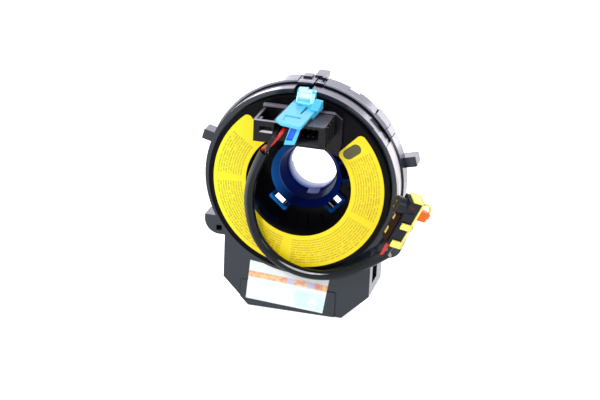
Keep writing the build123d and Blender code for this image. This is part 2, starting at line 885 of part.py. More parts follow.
def tube(points, diameter):
    """Round bar of straight runs and tangent arcs; prints the arcs' radii."""
    points = [Vector(*point) for point in points]
    radii = []
    for before, here, after in zip(points, points[1:], points[2:]):
        turn = radians((here - before).get_angle(after - here))
        shorter = min((here - before).length, (after - here).length)
        radii.append(0.45 * shorter / tan(turn / 2))
    with BuildLine() as route:
        FilletPolyline(*points, radius=radii)
    path = route.wire()
    with BuildSketch(Plane(origin=path @ 0, z_dir=path % 0)) as section:
        Circle(diameter / 2)
    sweep(sections=section.sketch, path=path)
    print(f"tube {path.length:.1f} mm, radii", [round(radius, 1) for radius in radii])


with BuildPart() as red_wire:
    # from the block to the sheath, then from the sheath to the plug
    tube(
        [
            (-2.4, -52.8, 37.0),
            (-2.4, -61.0, 37.0),
            (-9.2, -59.8, 27.6),
            (-13.2, -54.8, 25.2),
            sheath_start + wire_side,
        ],
        wire_diameter,
    )
    tube([(44.2, -40.3, -31.3), red_entry - along * wire_lead, red_entry], wire_diameter)
keep(red_wire, "red_wire")

with BuildPart() as black_wire:
    tube(
        [
            (-5.7, -52.8, 36.2),
            (-5.7, -61.4, 36.2),
            (-8.4, -64.0, 30.2),
            (-10.8, -61.2, 25.0),
            sheath_start - wire_side,
        ],
        wire_diameter,
    )
    tube([(47.5, -40.5, -28.6), black_entry - along * wire_lead, black_entry], wire_diameter)
keep(black_wire, "black_wire")

with BuildPart() as harness_sheath:
    tube(
        [
            sheath_start,
            (-20.5, -48.0, 8.5),
            (-23.8, -44.0, -9.0),
            (-20.5, -41.5, -27.5),
            (-10.5, -40.5, -40.0),
            (4.5, -40.5, -46.0),
            (20.5, -40.5, -45.0),
            (35.5, -40.5, -37.8),
            sheath_end,
        ],
        sheath_diameter,
    )
    # the wires leave through the sheath's side
    add(red_wire.part, mode=Mode.SUBTRACT)
    add(black_wire.part, mode=Mode.SUBTRACT)
keep(harness_sheath, "harness_sheath")
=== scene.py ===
"""Dresses the steering clock spring: camera, lead, finishes, printed labels and studio light."""

import json
from math import cos, radians, sin

import bmesh
import bpy
import numpy as np
from mathutils import Matrix, Vector

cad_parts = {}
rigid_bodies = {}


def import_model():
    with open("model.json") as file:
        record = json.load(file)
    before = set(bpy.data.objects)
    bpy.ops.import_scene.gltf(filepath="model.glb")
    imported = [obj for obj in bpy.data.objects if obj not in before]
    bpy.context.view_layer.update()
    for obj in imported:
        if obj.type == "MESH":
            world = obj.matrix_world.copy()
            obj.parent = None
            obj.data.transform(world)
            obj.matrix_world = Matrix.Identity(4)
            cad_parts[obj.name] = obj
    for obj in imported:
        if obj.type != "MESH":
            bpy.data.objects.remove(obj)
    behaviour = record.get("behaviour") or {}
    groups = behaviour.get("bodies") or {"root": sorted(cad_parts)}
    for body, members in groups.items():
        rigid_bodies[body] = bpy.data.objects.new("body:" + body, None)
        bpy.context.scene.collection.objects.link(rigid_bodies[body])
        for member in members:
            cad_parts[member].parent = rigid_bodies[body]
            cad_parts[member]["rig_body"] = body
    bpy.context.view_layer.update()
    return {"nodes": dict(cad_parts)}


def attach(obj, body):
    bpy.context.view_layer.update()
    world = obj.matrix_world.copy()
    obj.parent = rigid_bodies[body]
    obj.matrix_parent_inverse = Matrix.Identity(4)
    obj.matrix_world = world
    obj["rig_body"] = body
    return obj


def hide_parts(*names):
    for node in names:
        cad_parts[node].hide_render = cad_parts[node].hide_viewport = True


MM = 0.001
TO_MM = 1000.0

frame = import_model()
nodes = frame["nodes"]


def add_object(name, data):
    """An object with the given data, linked to the scene."""
    made = bpy.data.objects.new(name, data)
    bpy.context.scene.collection.objects.link(made)
    return made


# ------------------------------------------------------------------ camera
azimuth, elevation, roll = radians(14.09), radians(22.17), radians(2.5)
aim = Vector((1.33, -37.0, -7.73)) * MM
camera_distance = 1.0491
focal_length, sensor_width, far_clip = 126.0, 36.0, 20.0

away = Vector((sin(azimuth) * cos(elevation), -cos(azimuth) * cos(elevation), sin(elevation)))
level = Vector((cos(azimuth), sin(azimuth), 0.0))
above = away.cross(level)
side_axis = level * cos(roll) + above * sin(roll)
up_axis = above * cos(roll) - level * sin(roll)
camera = add_object("camera", bpy.data.cameras.new("camera"))
camera.data.lens = focal_length
camera.data.sensor_width = sensor_width
camera.data.clip_end = far_clip
turn = Matrix((side_axis, up_axis, away)).transposed().to_4x4()
camera.matrix_world = Matrix.Translation(aim + away * camera_distance) @ turn
bpy.context.scene.camera = camera

# ------------------------------------------------------------------ lead
sheath_width, wire_width, hook_width = 5.2, 1.9, 1.3


def bent_tube(name, routes, diameter):
    """One curve object with a smooth round tube along each list of control points, in mm."""
    data = bpy.data.curves.new(name, "CURVE")
    data.dimensions = "3D"
    data.bevel_depth = diameter / 2 * MM
    data.bevel_resolution = 8
    data.resolution_u = 24
    data.use_fill_caps = True
    for route in routes:
        spline = data.splines.new("NURBS")
        spline.points.add(len(route) - 1)
        for point, place in zip(spline.points, route):
            point.co = (place[0] * MM, place[1] * MM, place[2] * MM, 1.0)
        spline.order_u = 3
        spline.use_endpoint_u = True
    return add_object(name, data)


# from beside the connector block, down the left of the bore, below it and out to the plug
sheath = bent_tube(
    "lead_sheath",
    [[
        (-13.6, -52.5, 21.9),
        (-20.5, -48.0, 8.5),
        (-23.8, -44.0, -9.0),
        (-20.5, -41.5, -27.5),
        (-10.5, -40.5, -40.0),
        (4.5, -40.5, -46.0),
        (20.5, -40.5, -45.0),
        (35.5, -40.5, -37.8),
        (48.6, -40.5, -27.7),
    ]],
    sheath_width,
)
# each wire shows twice: between the block and the sheath, and between the sheath and the plug
red_lead = bent_tube(
    "red_lead",
    [
        [
            (-2.4, -52.8, 37.0),
            (-2.4, -61.0, 37.0),
            (-9.2, -59.8, 27.6),
            (-13.2, -54.8, 25.2),
            (-14.67, -52.5, 22.45),
        ],
        [(44.2, -40.3, -31.3), (47.55, -44.25, -24.15), (49.21, -44.25, -20.51)],
    ],
    wire_width,
)
black_lead = bent_tube(
    "black_lead",
    [
        [
            (-5.7, -52.8, 36.2),
            (-5.7, -61.4, 36.2),
            (-8.4, -64.0, 30.2),
            (-10.8, -61.2, 25.0),
            (-12.53, -52.5, 21.35),
        ],
        [(47.5, -40.5, -28.6), (49.8, -44.3, -25.2), (51.46, -44.3, -21.55)],
    ],
    wire_width,
)


# ------------------------------------------------------------------ shader helpers
def join(tree, source, target):
    tree.links.new(source, target)


def feed(tree, target, value):
    """Joins a socket to the target, or sets the target to a plain value."""
    if isinstance(value, bpy.types.NodeSocket):
        join(tree, value, target)
    else:
        target.default_value = value


def add_node(tree, kind, **sockets):
    """A node whose named inputs are set to a value or joined to a socket."""
    made = tree.nodes.new(kind)
    for key, value in sockets.items():
        feed(tree, made.inputs[key], value)
    return made


def reckon(tree, operation, *terms, clamp=False):
    """A Math node's output for the given terms."""
    made = tree.nodes.new("ShaderNodeMath")
    made.operation = operation
    made.use_clamp = clamp
    for socket, term in zip(made.inputs, terms):
        feed(tree, socket, term)
    return made.outputs[0]


def product(tree, *terms):
    """All the terms multiplied together."""
    made = terms[0]
    for term in terms[1:]:
        made = reckon(tree, "MULTIPLY", made, term)
    return made


def length_of(tree, first, second):
    """Length of the long side over two legs at right angles."""
    squares = reckon(tree, "ADD", product(tree, first, first), product(tree, second, second))
    return reckon(tree, "SQRT", squares)


def rise(tree, value, start, run):
    """Mask that climbs from 0 at the start to 1 over a run."""
    return reckon(tree, "DIVIDE", reckon(tree, "SUBTRACT", value, start), run, clamp=True)


def fall(tree, value, end, run):
    """Mask that sinks over a run to 0 at the end."""
    return reckon(tree, "DIVIDE", reckon(tree, "SUBTRACT", end, value), run, clamp=True)


def band(tree, value, low, high, soft=0.1):
    """Mask that is 1 between two limits, with soft edges."""
    return product(tree, rise(tree, value, low, soft), fall(tree, value, high, soft))


def bands(tree, value, stretches, soft=0.1):
    """One mask for several separate bands along the same measure."""
    made = None
    for low, high in stretches:
        one = band(tree, value, low, high, soft)
        made = one if made is None else reckon(tree, "ADD", made, one)
    return made


def blend_colour(tree, mask, first, second):
    """Mix of two colours by a mask, 0 for the first and 1 for the second."""
    made = tree.nodes.new("ShaderNodeMix")
    made.data_type = "RGBA"
    feed(tree, made.inputs[0], mask)
    for socket, colour in ((made.inputs[6], first), (made.inputs[7], second)):
        feed(tree, socket, (*colour, 1.0) if isinstance(colour, tuple) else colour)
    return made.outputs[2]


def paint(tree, under, over, *masks):
    """One colour laid over another where all the masks are 1; a plain number thins it."""
    return blend_colour(tree, product(tree, *masks), under, over)


def coordinate(tree, kind="Object"):
    return tree.nodes.new("ShaderNodeTexCoord").outputs[kind]


def place_mm(tree):
    """The shaded point in mm: to the right, to the front and up."""
    split = add_node(tree, "ShaderNodeSeparateXYZ", Vector=coordinate(tree)).outputs
    return [product(tree, split[axis], scale) for axis, scale in enumerate((TO_MM, -TO_MM, TO_MM))]


def along_way(tree, vector, way):
    """How far a vector reaches along a fixed direction."""
    made = add_node(tree, "ShaderNodeVectorMath", Vector=vector)
    made.operation = "DOT_PRODUCT"
    made.inputs[1].default_value = way
    return made.outputs["Value"]


def new_group(name, inputs, outputs):
    """An empty shader group with named sockets that carry plain values."""
    group = bpy.data.node_groups.new(name, "ShaderNodeTree")
    for way, keys in (("INPUT", inputs), ("OUTPUT", outputs)):
        for key in keys:
            group.interface.new_socket(key, in_out=way, socket_type="NodeSocketFloat")
    way_in, way_out = (group.nodes.new(kind) for kind in ("NodeGroupInput", "NodeGroupOutput"))
    return group, way_in.outputs, way_out.inputs


def use_group(tree, group, **values):
    made = tree.nodes.new("ShaderNodeGroup")
    made.node_tree = group
    for key, value in values.items():
        made.inputs[key].default_value = value
    return made.outputs


# moulded plastic: fine spark-eroded grain for the bump, broad cloud for tone, flow marks for gloss
grain_scale, cloud_scale, flow_scale = 2600.0, 55.0, 260.0
grain_strength, grain_depth = 0.35, 0.04

moulded, ins, outs = new_group("moulded_plastic", ["Grain"], ["Height", "Tone", "Gloss"])
place = coordinate(moulded)
fine = add_node(moulded, "ShaderNodeTexNoise", Vector=place, Scale=grain_scale, Detail=3.0)
broad = add_node(
    moulded, "ShaderNodeTexNoise", Vector=place, Scale=cloud_scale, Detail=4.0, Roughness=0.6
)
flow = add_node(moulded, "ShaderNodeTexNoise", Vector=place, Scale=flow_scale, Detail=2.0)
join(moulded, product(moulded, fine.outputs[0], ins["Grain"]), outs["Height"])
join(moulded, broad.outputs[0], outs["Tone"])
join(moulded, flow.outputs[0], outs["Gloss"])

# polar place about the rotation axis: radius in mm and clock angle in degrees from the top
polar, ins, outs = new_group("polar_place", [], ["Radius", "Clock"])
along, _, high = place_mm(polar)
join(polar, length_of(polar, along, high), outs["Radius"])
angle = reckon(polar, "DEGREES", reckon(polar, "ARCTAN2", along, high))
join(polar, reckon(polar, "FLOORED_MODULO", angle, 360.0), outs["Clock"])


# ------------------------------------------------------------------ finishes
def finish(
    name, colour, rough, grain=0.4, spread=0.12, tone=0.18,
    coat=0.0, coat_rough=0.12, specular=0.5, metallic=0.0,
):
    """A moulded finish: base colour varied by cloud, roughness by flow, and grain in the bump."""
    material = bpy.data.materials.new(name)
    material.use_nodes = True
    tree = material.node_tree
    surface = tree.nodes["Principled BSDF"]
    parts = use_group(tree, moulded, Grain=grain)
    darker = tuple(channel * (1 - tone) for channel in colour)
    lighter = tuple(min(1.0, channel * (1 + tone)) for channel in colour)
    roughness = reckon(tree, "MULTIPLY_ADD", parts["Gloss"], spread, rough - spread / 2, clamp=True)
    bump = add_node(
        tree, "ShaderNodeBump",
        Strength=grain_strength, Distance=grain_depth * MM, Height=parts["Height"],
    )
    for key, value in (
        ("Base Color", blend_colour(tree, parts["Tone"], darker, lighter)),
        ("Roughness", roughness),
        ("Normal", bump.outputs[0]),
        ("Coat Weight", coat),
        ("Coat Roughness", coat_rough),
        ("Specular IOR Level", specular),
        ("Metallic", metallic),
    ):
        feed(tree, surface.inputs[key], value)
    return material


def base_of(material):
    """A finish's node tree, and the colour that feeds its base colour so far."""
    tree = material.node_tree
    return tree, tree.nodes["Principled BSDF"].inputs["Base Color"].links[0].from_socket


def repaint(tree, colour):
    """Gives a finish another base colour."""
    join(tree, colour, tree.nodes["Principled BSDF"].inputs["Base Color"])


rotor_black = finish("rotor_black", (0.0030, 0.0028, 0.0042), 0.24, grain=0.2, specular=0.06)
header_black = finish("header_black", (0.012, 0.012, 0.014), 0.45, specular=0.3)
header_yellow = finish("header_yellow", (0.85, 0.60, 0.03), 0.45)
pin_metal = finish("tinned_pins", (0.30, 0.27, 0.20), 0.32, grain=0.2, metallic=1.0)
# the block's socket pins are made near black: painted shade of the sockets they sit in
pin_in_shade = finish("socket_pins_in_shade", (0.020, 0.016, 0.012), 0.40, specular=0.25)
cable_brown = finish("cable_brown", (0.30, 0.17, 0.05), 0.35)
wire_red = finish("wire_red", (0.62, 0.014, 0.012), 0.34)
wire_black = finish("wire_black", (0.004, 0.004, 0.005), 0.34, specular=0.3)
plug_yellow = finish("plug_yellow", (0.95, 0.88, 0.19), 0.42, tone=0.04, specular=0.35)
tab_orange = finish("tab_orange", (0.90, 0.17, 0.008), 0.42, tone=0.05, specular=0.3)
label_blank = finish("label_blank", (0.93, 0.90, 0.93), 0.5, tone=0.02)

# case and covers: a dark gap on each side of the box's cover plate, and a painted highlight on the
# shoulder between the two round bands, pale over the top half, as light from behind on a rounded
# edge
housing = finish("slate_housing", (0.010, 0.016, 0.028), 0.34, grain=0.2, specular=0.15, coat=0.6)
gap_black, shoulder_highlight_grey = (0.001, 0.001, 0.001), (0.36, 0.35, 0.42)
tree, shade = base_of(housing)
along, forward, high = place_mm(tree)
radius = use_group(tree, polar)["Radius"]
gap = product(
    tree,
    bands(tree, along, ((-29.6, -28.9), (20.9, 21.7))),
    band(tree, high, -70.0, -57.0),
    band(tree, forward, 33.0, 34.5),
)
# painted highlight: the shoulder's top half catching light from behind
shoulder = product(
    tree,
    band(tree, radius, 49.95, 52.0, soft=0.15),
    band(tree, forward, 23.3, 24.3),
    rise(tree, high, 18.0, 14.0),
)
repaint(tree, paint(tree, paint(tree, shade, gap_black, gap), shoulder_highlight_grey, shoulder))

# connector block: painted light makes faces that look up paler, and painted highlights
# make its front top edge and its rear rail paler still
block_black = finish("block_black", (0.0055, 0.0058, 0.0080), 0.28, grain=0.2, specular=0.18)
block_top, block_front = 39.8, 57.8
top_light_grey, edge_highlight_grey, rail_highlight_grey = (0.085, 0.080, 0.105), (0.42, 0.39, 0.47), (0.20, 0.185, 0.23)
tree, shade = base_of(block_black)
along, forward, high = place_mm(tree)
upward = rise(tree, along_way(tree, coordinate(tree, "Normal"), (0.0, 0.0, 1.0)), 0.6, 0.2)
front_edge = product(
    tree,
    band(tree, high, block_top - 0.4, block_top + 0.4),
    band(tree, forward, block_front - 0.6, block_front + 0.4),
    band(tree, along, -18.7, -3.0, soft=0.3),
)
rail = product(
    tree, band(tree, high, block_top + 0.5, block_top + 2.2), band(tree, forward, 36.0, 40.0)
)
# painted light on the upward faces, painted highlights on the front top edge and the rail
shade = paint(tree, shade, top_light_grey, upward)
shade = paint(tree, shade, edge_highlight_grey, front_edge)
repaint(tree, paint(tree, shade, rail_highlight_grey, rail))

# sheath: a painted sheen along the upper run's left side and a painted glint along the lower run
sheath_slate = finish(
    "sheath_slate", (0.003, 0.006, 0.009), 0.34,
    grain=0.05, specular=0.03, coat=0.35, coat_rough=0.03,
)
sheen_grey, glint_grey = (0.105, 0.115, 0.130), (0.55, 0.53, 0.56)
left_facing, front_facing = (-0.75, -0.60, 0.28), (0.10, -0.84, 0.54)
tree, shade = base_of(sheath_slate)
_, _, high = place_mm(tree)
normal = coordinate(tree, "Normal")
sheen = rise(tree, along_way(tree, normal, left_facing), 0.55, 0.45)
glint = rise(tree, along_way(tree, normal, front_facing), 0.975, 0.02)
shade = paint(tree, shade, sheen_grey, sheen, band(tree, high, -34.0, 30.0, soft=22.0), 0.9)
repaint(tree, paint(tree, shade, glint_grey, glint, band(tree, high, -60.0, -22.0, soft=8.0), 0.8))

# cancel sleeve: navy, with painted light brightest on the upper left of its mouth, painted shade
# low down, a painted highlight on the ridge round the mouth, a bore painted paler towards the back
# as a reflection with one painted reflection patch low in it, and lighter blue loops at the front
sleeve_blue = finish("sleeve_navy", (0.001, 0.012, 0.125), 0.22, grain=0.1, specular=0.004)
glow_blue, low_shade_navy, ridge_highlight_blue = (0.018, 0.150, 0.500), (0.002, 0.002, 0.024), (0.20, 0.32, 0.62)
bore_front, bore_back_reflection, reflection_patch_blue = (0.03, 0.10, 0.42), (0.80, 0.86, 1.0), (0.30, 0.34, 0.64)
loop_lit_left, loop_shade_right = (0.008, 0.210, 0.720), (0.002, 0.030, 0.180)
loop_root_shade = (0.003, 0.024, 0.130)
tree, shade = base_of(sleeve_blue)
along, forward, high = place_mm(tree)
radius = use_group(tree, polar)["Radius"]
to_light = reckon(tree, "MULTIPLY_ADD", high, 0.35, product(tree, along, -1.0))
glow = rise(tree, to_light, 1.0, 20.0)
shade = paint(tree, shade, glow_blue, glow, band(tree, radius, 14.8, 18.9, soft=0.5))
# painted shade low down, away from the light on the mouth
low_shade = product(tree, fall(tree, high, -7.0, 9.0), reckon(tree, "SUBTRACT", 1.0, glow))
shade = paint(tree, shade, low_shade_navy, low_shade, 0.7)
# painted highlight on the ridge round the mouth
shade = paint(tree, shade, ridge_highlight_blue, band(tree, radius, 14.85, 15.25, soft=0.15), glow, 0.6)
# painted reflection: the bore pales towards the back
bore_wall = blend_colour(tree, fall(tree, forward, 8.5, 7.0), bore_front, bore_back_reflection)
shade = paint(tree, shade, bore_wall, band(tree, radius, 10.0, 13.0, soft=0.2))
# painted reflection: a pale patch low in the bore
reflection_patch = product(
    tree,
    band(tree, along, -1.8, 4.6, soft=0.3),
    band(tree, high, -15.5, -9.0, soft=0.3),
    band(tree, radius, 12.7, 13.9, soft=0.2),
)
shade = paint(tree, shade, reflection_patch_blue, reflection_patch, 0.9)
# the loops are painted lit on the left, with painted shade to the right and at their roots
loop_blue = blend_colour(tree, fall(tree, along, 16.0, 22.0), loop_shade_right, loop_lit_left)
loop_blue = blend_colour(tree, rise(tree, radius, 21.0, 1.4), loop_root_shade, loop_blue)
loops = product(
    tree, band(tree, radius, 18.5, 60.0, soft=0.2), band(tree, forward, 18.8, 25.0, soft=0.3)
)
repaint(tree, paint(tree, shade, loop_blue, loops))

# transit lock: clear cyan, with deep blue painted shade down the channel on the front of its
# tongue, a painted highlight on the slope behind its cap and a small blue spot of painted shade in
# front of that slope
lock_cyan = finish("lock_cyan", (0.085, 0.60, 0.90), 0.22, tone=0.05, specular=0.4)
channel_shade_blue, slope_highlight_pale, spot_shade_blue = (0.0, 0.16, 0.92), (0.82, 0.96, 0.95), (0.0, 0.09, 0.50)
tree, shade = base_of(lock_cyan)
along, forward, high = place_mm(tree)
radius = use_group(tree, polar)["Radius"]
channel = product(
    tree, band(tree, forward, 58.6, 59.8, soft=0.3), band(tree, radius, 31.6, 39.4, soft=0.3)
)
slope = product(
    tree,
    band(tree, along, -1.6, 5.2, soft=0.2),
    band(tree, forward, 36.3, 40.6, soft=0.2),
    band(tree, high, 45.9, 52.0, soft=1.4),
)
spot = product(
    tree, band(tree, along, 0.0, 1.7, soft=0.2), band(tree, forward, 41.2, 42.6, soft=0.2)
)
# painted shade in the channel and on the spot, a painted highlight on the slope
shade = paint(tree, shade, channel_shade_blue, channel)
shade = paint(tree, shade, slope_highlight_pale, slope, 0.9)
repaint(tree, paint(tree, shade, spot_shade_blue, spot))

# face label: yellow film with rows of plain dashes in four blocks, and a dark blank lozenge
label_yellow = finish(
    "label_yellow", (1.0, 0.77, 0.010), 0.36, grain=0.2, tone=0.03, specular=0.35
)
left_lit_yellow, ink_brown = (0.93, 0.93, 0.020), (0.30, 0.24, 0.03)
lozenge_dark = (0.085, 0.085, 0.030)
first_row, last_row, row_pitch = 29.2, 42.2, 1.30
dash_stretch, dash_shift = 0.62, 17.3
print_blocks = ((58.0, 110.5), (115.5, 184.0), (192.5, 266.5), (272.0, 306.0))
lozenge_clock, lozenge_radius = radians(51.2), 34.2
lozenge_half_length, lozenge_half_width = 2.3, 2.9
tree, shade = base_of(label_yellow)
along, _, high = place_mm(tree)
round_place = use_group(tree, polar)
radius, clock = round_place["Radius"], round_place["Clock"]
# painted light: the label's left is a paler, greener yellow, as lit from the left
shade = paint(tree, shade, left_lit_yellow, fall(tree, along, -22.0, 20.0), 0.8)
row = reckon(tree, "DIVIDE", reckon(tree, "SUBTRACT", radius, first_row), row_pitch)
dash_place = add_node(
    tree, "ShaderNodeCombineXYZ",
    X=product(tree, clock, dash_stretch), Y=product(tree, reckon(tree, "FLOOR", row), dash_shift),
)
dashes = add_node(
    tree, "ShaderNodeTexNoise", Vector=dash_place.outputs[0], Scale=1.5, Detail=3.0, Roughness=0.7
)
ink = product(
    tree,
    band(tree, reckon(tree, "FRACT", row), 0.16, 0.84),
    band(tree, dashes.outputs[0], 0.40, 2.0),
    bands(tree, clock, print_blocks, soft=0.5),
    band(tree, radius, first_row + 0.1, last_row, soft=0.15),
)
shade = paint(tree, shade, ink_brown, ink, 0.54)
outward = reckon(
    tree, "MULTIPLY_ADD", along, sin(lozenge_clock), product(tree, high, cos(lozenge_clock))
)
beside = reckon(
    tree, "MULTIPLY_ADD", along, cos(lozenge_clock), product(tree, high, -sin(lozenge_clock))
)
from_centre = reckon(tree, "ABSOLUTE", reckon(tree, "SUBTRACT", outward, lozenge_radius))
past_end = reckon(tree, "MAXIMUM", reckon(tree, "SUBTRACT", from_centre, lozenge_half_length), 0.0)
lozenge = fall(tree, length_of(tree, past_end, beside), lozenge_half_width, 0.3)
repaint(tree, paint(tree, shade, lozenge_dark, lozenge))

# box label: white film, a warm stripe in three lengths across its upper half and pale tints below
label_white = finish(
    "label_white", (0.89, 0.94, 0.94), 0.40, grain=0.2, tone=0.02, specular=0.4
)
warm_red, warm_amber, between_violet = (0.80, 0.16, 0.12), (0.98, 0.62, 0.12), (0.55, 0.50, 0.78)
cool_tint = (0.62, 0.95, 0.93)
stripe_height, stripe_slope = -54.5, 0.057
stripe_lengths = ((-26.0, -4.2), (-0.8, 6.0), (9.8, 18.0))
tree, shade = base_of(label_white)
along, _, high = place_mm(tree)
place = coordinate(tree)
height = reckon(
    tree, "MULTIPLY_ADD", along, stripe_slope, reckon(tree, "SUBTRACT", high, stripe_height)
)
warm_cloud = add_node(tree, "ShaderNodeTexNoise", Vector=place, Scale=520.0, Detail=3.0)
cool_cloud = add_node(tree, "ShaderNodeTexNoise", Vector=place, Scale=110.0, Detail=2.0)
warm = blend_colour(tree, rise(tree, warm_cloud.outputs[0], 0.38, 0.24), warm_red, warm_amber)
warm = blend_colour(tree, bands(tree, along, stripe_lengths, soft=0.3), between_violet, warm)
shade = paint(
    tree, shade, cool_tint,
    rise(tree, cool_cloud.outputs[0], 0.50, 0.12), band(tree, height, -14.0, -3.0, soft=1.5), 0.7,
)
repaint(tree, paint(tree, shade, warm, band(tree, height, -1.9, 1.7, soft=0.35), 0.78))

# plug axes: along its length, across it and up its nose
plug_origin = Vector((49.3, -42.0, -20.55))
plug_lean = radians(24.5)
plug_along = Vector((sin(plug_lean), 0.0, cos(plug_lean)))
plug_nose = Vector((-0.788, -0.5, 0.359)).normalized()
plug_across = plug_nose.cross(plug_along)
plug_axes = (plug_along, plug_across, plug_nose)


def plug_place(tree):
    """Distances in mm along the plug, across it and up its nose."""
    offset = add_node(tree, "ShaderNodeVectorMath", Vector=coordinate(tree))
    offset.operation = "SUBTRACT"
    offset.inputs[1].default_value = plug_origin * MM
    return [product(tree, along_way(tree, offset.outputs[0], axis), TO_MM) for axis in plug_axes]


# plug body: two dark red marks beside the nose
plug_black = finish("plug_body_black", (0.016, 0.019, 0.027), 0.30, grain=0.05, specular=0.12)
mark_red = (0.20, 0.005, 0.004)
tree, shade = base_of(plug_black)
reach, across, height = plug_place(tree)
slanted = reckon(tree, "MULTIPLY_ADD", height, -0.32, reach)
mark = product(
    tree,
    band(tree, slanted, 22.5, 23.4, soft=0.2),
    bands(tree, height, ((-0.6, 2.0), (2.4, 4.4)), soft=0.2),
    band(tree, across, -6.0, -4.3),
)
repaint(tree, paint(tree, shade, mark_red, mark))

# plug lid: brown-black, with two pale windows onto the yellow shell
plug_brown = finish("plug_lid_brown", (0.026, 0.011, 0.011), 0.45, grain=0.05, specular=0.03)
pane_yellow = (0.95, 0.78, 0.25)
tree, shade = base_of(plug_brown)
reach, across, _ = plug_place(tree)
panes = product(
    tree,
    bands(tree, reach, ((2.6, 6.6), (11.4, 14.0)), soft=0.2),
    band(tree, across, 0.9, 2.7, soft=0.15),
)
repaint(tree, paint(tree, shade, pane_yellow, panes))

# ------------------------------------------------------------------ smooth skins of the solids
wear = {
    "rear_case": housing,
    "front_cover": housing,
    "box_cover": housing,
    "box_label": label_white,
    "main_header": header_black,
    "main_terminals": pin_metal,
    "airbag_header": header_yellow,
    "airbag_terminals": pin_metal,
    "flat_cable": cable_brown,
    "outer_carrier": header_black,
    "inner_carrier": header_black,
    "rotor_disc": rotor_black,
    "face_label": label_yellow,
    "connector_block": block_black,
    "block_terminals": pin_in_shade,
    "cancel_sleeve": sleeve_blue,
    "lock_tab": lock_cyan,
    "plug_body": plug_black,
    "plug_lid": plug_brown,
    "plug_contacts": pin_metal,
}
rounded = {"lock_tab": 0.22, "connector_block": 0.15, "front_cover": 0.2, "plug_body": 0.3}
merge_distance = 1e-6


def smooth(mesh, sharp_degrees):
    """Shades a mesh smoothly, apart from the edges sharper than an angle."""
    mesh.shade_smooth()
    mesh.set_sharp_from_angle(angle=radians(sharp_degrees))


def round_edges(piece, width, segments, sharp_degrees):
    """Rounds the edges sharper than an angle by a width in mm."""
    rounding = piece.modifiers.new("edge_rounding", "BEVEL")
    rounding.width = width * MM
    rounding.segments = segments
    rounding.limit_method = "ANGLE"
    rounding.angle_limit = radians(sharp_degrees)
    rounding.harden_normals = True


def skin(node_name, bevel):
    """Replaces a solid by a merged copy that shades smoothly and may have its edges rounded."""
    source = nodes[node_name]
    mesh = source.data.copy()
    work = bmesh.new()
    work.from_mesh(mesh)
    bmesh.ops.remove_doubles(work, verts=work.verts, dist=merge_distance)
    if bevel > 0:
        bmesh.ops.dissolve_limit(
            work, angle_limit=radians(0.5), verts=work.verts, edges=work.edges, delimit={"NORMAL"}
        )
    work.to_mesh(mesh)
    work.free()
    mesh.materials.clear()
    mesh.materials.append(wear[node_name])
    for layer in list(mesh.attributes):
        if layer.name == "custom_normal":
            mesh.attributes.remove(layer)
    smooth(mesh, sharp_degrees=32)
    piece = add_object(node_name + "_skin", mesh)
    if bevel > 0:
        round_edges(piece, bevel, segments=2, sharp_degrees=35)
    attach(piece, source["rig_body"])
    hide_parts(node_name)
    return piece


skins = {node_name: skin(node_name, rounded.get(node_name, 0.0)) for node_name in wear}


# ------------------------------------------------------------------ pieces made here
def made_of(name, corners, faces, material, body, bevel):
    """A closed mesh from corners in mm, with its edges rounded."""
    mesh = bpy.data.meshes.new(name)
    mesh.from_pydata([tuple(Vector(corner) * MM) for corner in corners], [], faces)
    mesh.materials.append(material)
    piece = add_object(name, mesh)
    work = bmesh.new()
    work.from_mesh(mesh)
    bmesh.ops.recalc_face_normals(work, faces=work.faces)
    work.to_mesh(mesh)
    work.free()
    round_edges(piece, bevel, segments=3, sharp_degrees=30)
    smooth(mesh, sharp_degrees=40)
    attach(piece, body)
    return piece


box_faces = (
    (0, 1, 3, 2), (4, 6, 7, 5), (0, 4, 5, 1),
    (2, 3, 7, 6), (0, 2, 6, 4), (1, 5, 7, 3),
)


def boxes(name, spans, origin, axes, material, body, bevel):
    """Boxes given by from-to spans along three axes from an origin, joined in one mesh."""
    corners, faces = [], []
    for spans_here in spans:
        first = len(corners)
        for a in spans_here[0:2]:
            for b in spans_here[2:4]:
                for c in spans_here[4:6]:
                    corners.append(origin + axes[0] * a + axes[1] * b + axes[2] * c)
        faces.extend(tuple(first + corner for corner in face) for face in box_faces)
    return made_of(name, corners, faces, material, body, bevel)


# yellow shell of the plug: back plate, end flap and two arms round the body
shell = boxes(
    "plug_shell",
    [
        (-1.0, 27.2, -4.5, 4.5, -4.7, -3.4),
        (26.15, 27.2, -4.5, 4.3, -4.7, 1.6),
        (0.0, 3.7, -6.0, -4.7, -4.7, 1.8),
        (0.0, 3.7, -6.0, -3.5, -4.7, -3.4),
        (10.8, 14.2, -6.0, -4.7, -4.7, 1.8),
        (10.8, 14.2, -6.0, -3.5, -4.7, -3.4),
    ],
    plug_origin, plug_axes, plug_yellow, "plug_lock", bevel=0.35,
)
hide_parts("plug_lock")

tab = boxes(
    "pull_tab",
    [(15.8, 21.2, -2.1, 2.1, -11.2, -4.7), (17.4, 20.8, -1.3, 1.3, -12.4, -10.4)],
    plug_origin, plug_axes, tab_orange, "plug_lock", bevel=0.9,
)
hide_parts("plug_tab")

# yellow hook that curls round behind the pull tab
hook_places = ((24.2, -4.4), (25.2, -7.2), (24.6, -9.8), (22.6, -11.4), (20.6, -11.3))
hook = bent_tube(
    "shell_hook",
    [[plug_origin + plug_along * reach + plug_nose * height for reach, height in hook_places]],
    hook_width,
)
hook.data.materials.append(plug_yellow)
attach(hook, "plug_lock")

